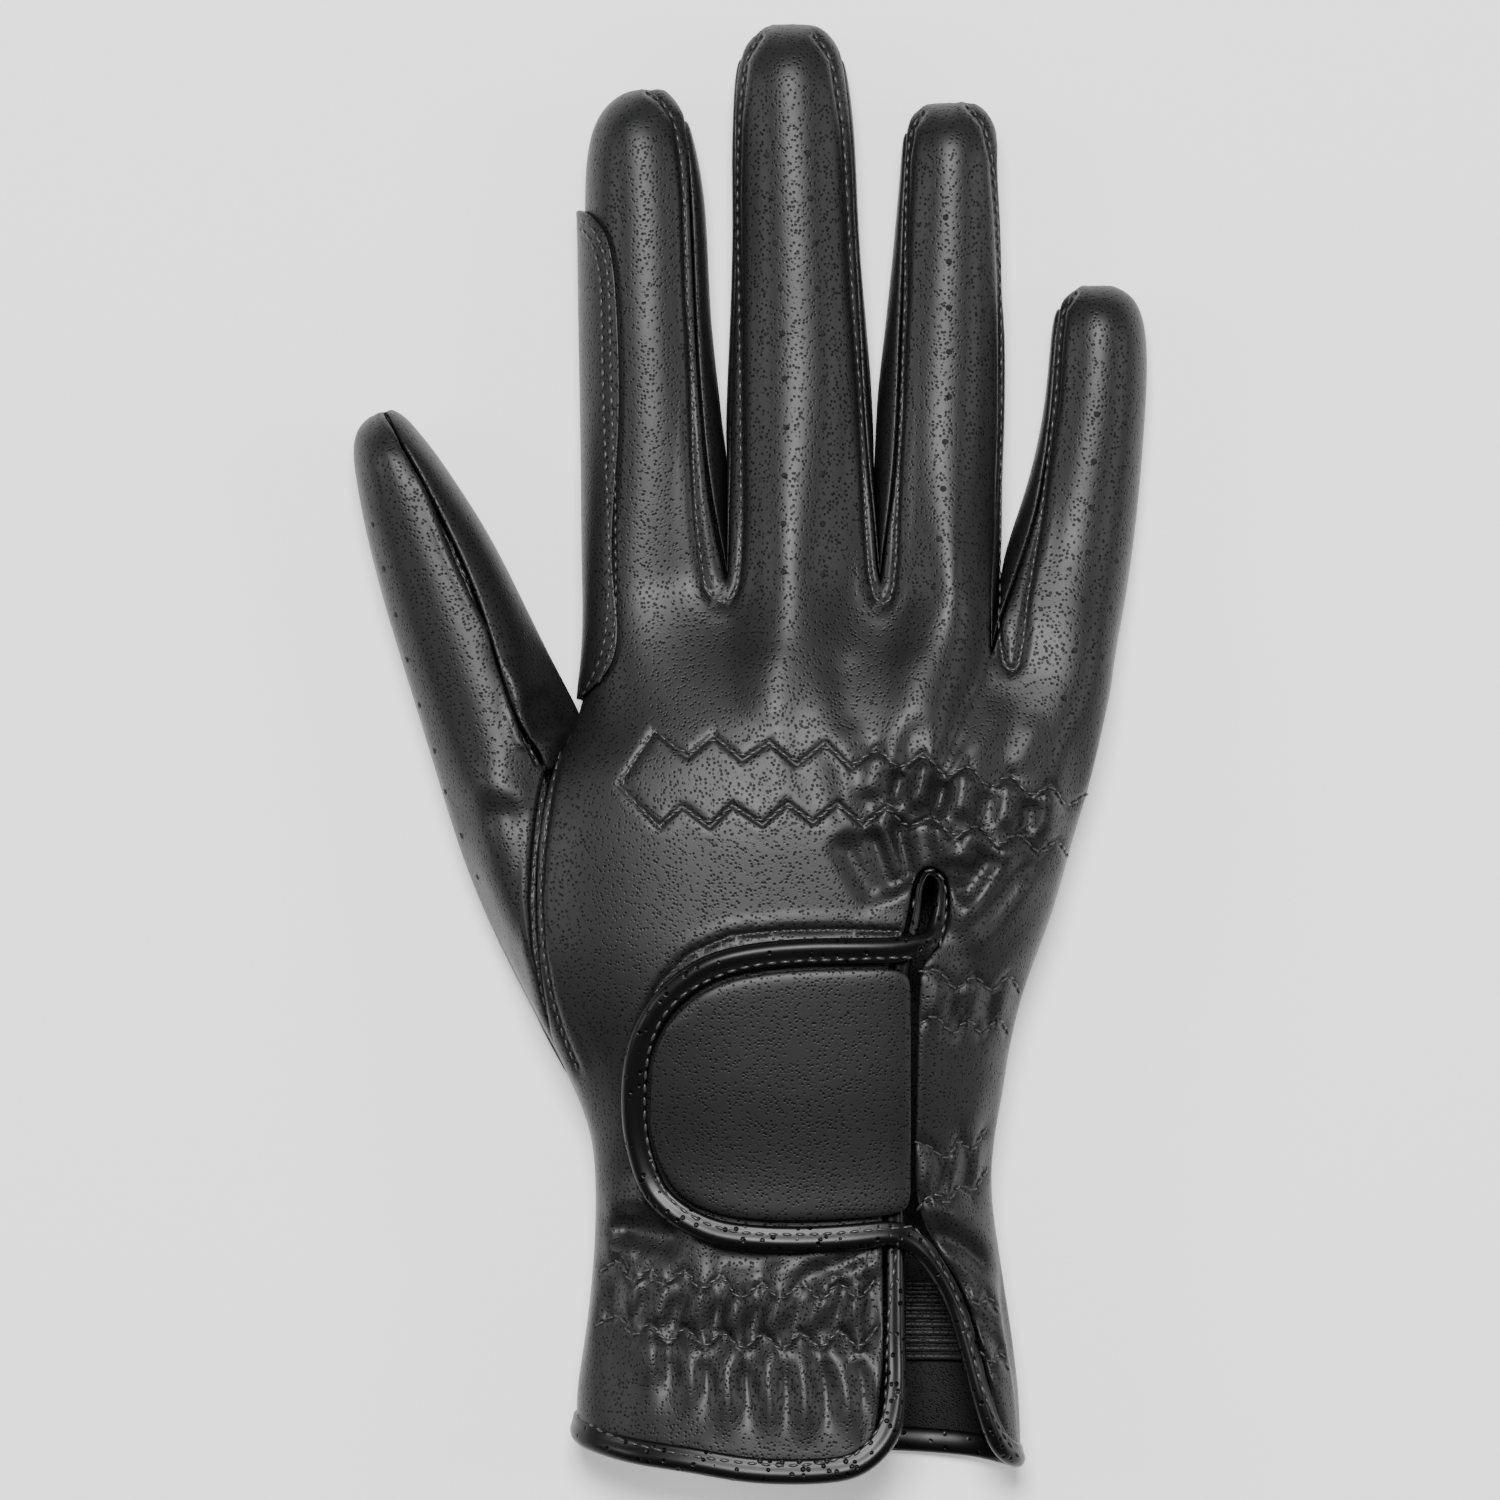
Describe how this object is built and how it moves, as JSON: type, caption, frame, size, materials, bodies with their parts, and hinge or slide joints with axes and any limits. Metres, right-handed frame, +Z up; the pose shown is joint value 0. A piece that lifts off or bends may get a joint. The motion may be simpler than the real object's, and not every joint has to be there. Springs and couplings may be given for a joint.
{
  "type": "riding glove",
  "caption": "Full-finger glove of thin black grained leather, lying palm down, with gathered cuff, wrist slit, keyhole and a rounded hook-and-loop wrist tab edged with one binding.",
  "frame": {"origin": "middle of the outline, at the surface the glove lies on", "axes": "+Y from the cuff to the fingertips, -X towards the thumb, +Z up from the palm to the back"},
  "size_m": [0.1196, 0.2188, 0.0315],
  "materials": {
    "grained_leather": "matte satin, fine pebble grain",
    "binding_leather": "satin, smooth with fine wrinkles",
    "elastic": "matte ribbed knit"
  },
  "bodies": {
    "root": {"back_panel": "grained_leather", "palm_panel": "grained_leather", "fourchette_index_middle": "grained_leather", "fourchette_middle_ring": "grained_leather", "fourchette_ring_little": "grained_leather", "thumb_outer": "grained_leather", "thumb_inner": "grained_leather", "index_patch": "grained_leather", "wrist_tab": "grained_leather", "edge_binding": "binding_leather", "cuff_elastic": "elastic"}
  },
  "joints": []
}
